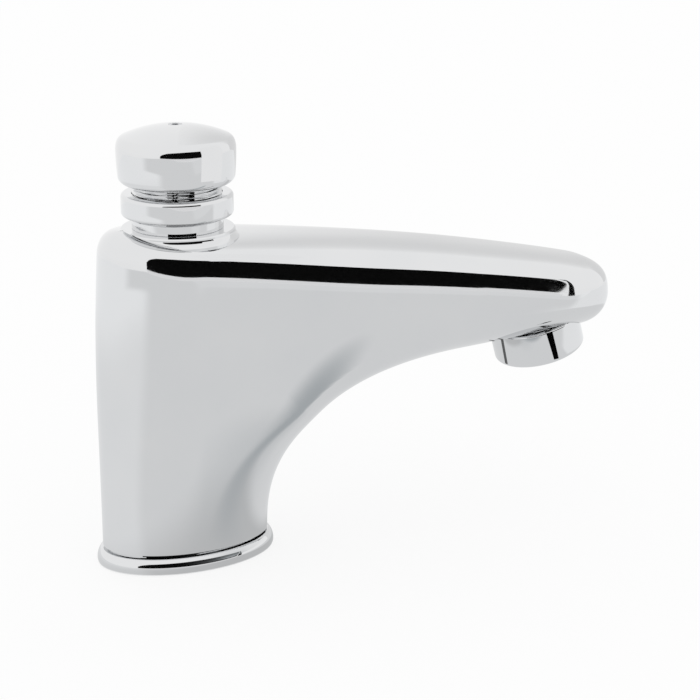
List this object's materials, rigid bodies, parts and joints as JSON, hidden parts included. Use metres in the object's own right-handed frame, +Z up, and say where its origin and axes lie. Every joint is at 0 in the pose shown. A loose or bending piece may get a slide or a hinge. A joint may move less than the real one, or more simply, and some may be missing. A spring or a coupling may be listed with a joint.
{
  "type": "push timed tap",
  "caption": "Deck-mounted self-closing basin tap: oval chrome column sweeping into a drooping spout, sprung push cap on a threaded neck, tilted aerator under the nose.",
  "frame": {"origin": "on the push axis, at deck level, midway between the two fixing studs", "axes": "+Z up along the push axis, +X along the spout, +Y to the left seen from behind the tap"},
  "size_m": [0.1767, 0.0424, 0.1343],
  "materials": {
    "chrome": "polished chrome plate on brass",
    "steel": "plain stainless steel",
    "brass": "machined",
    "rubber": "matt black",
    "plastic": "moulded, off-white"
  },
  "bodies": {
    "tap": {"body": "chrome", "base_plinth": "chrome", "base_gasket": "rubber", "head_sleeve": "chrome", "lock_ring": "chrome", "sleeve_oring": "rubber", "stem_bush": "plastic", "bush_clip": "steel", "stem_oring": "rubber", "timing_cylinder": "plastic", "cylinder_orings": "rubber", "metering_pin": "steel", "return_spring": "steel", "valve_seat": "brass", "inlet_strainer": "steel", "aerator_housing": "chrome", "aerator_seal": "rubber", "aerator_insert": "plastic", "aerator_screen": "steel"},
    "push": {"push_cap": "chrome", "cap_grub_screw": "steel", "stem": "steel", "piston": "plastic", "piston_seal": "rubber", "piston_clip": "steel", "valve_cup": "brass", "valve_washer": "rubber", "valve_nut": "brass"}
  },
  "joints": [
    {"name": "push_slide", "type": "slide", "parent": "tap", "child": "push", "axis": [0, 0, -1], "range_m": [0, 0.0026], "stiffness_N_per_m": 2000, "springref_m": -0.008, "deforming": ["return_spring"]}
  ]
}
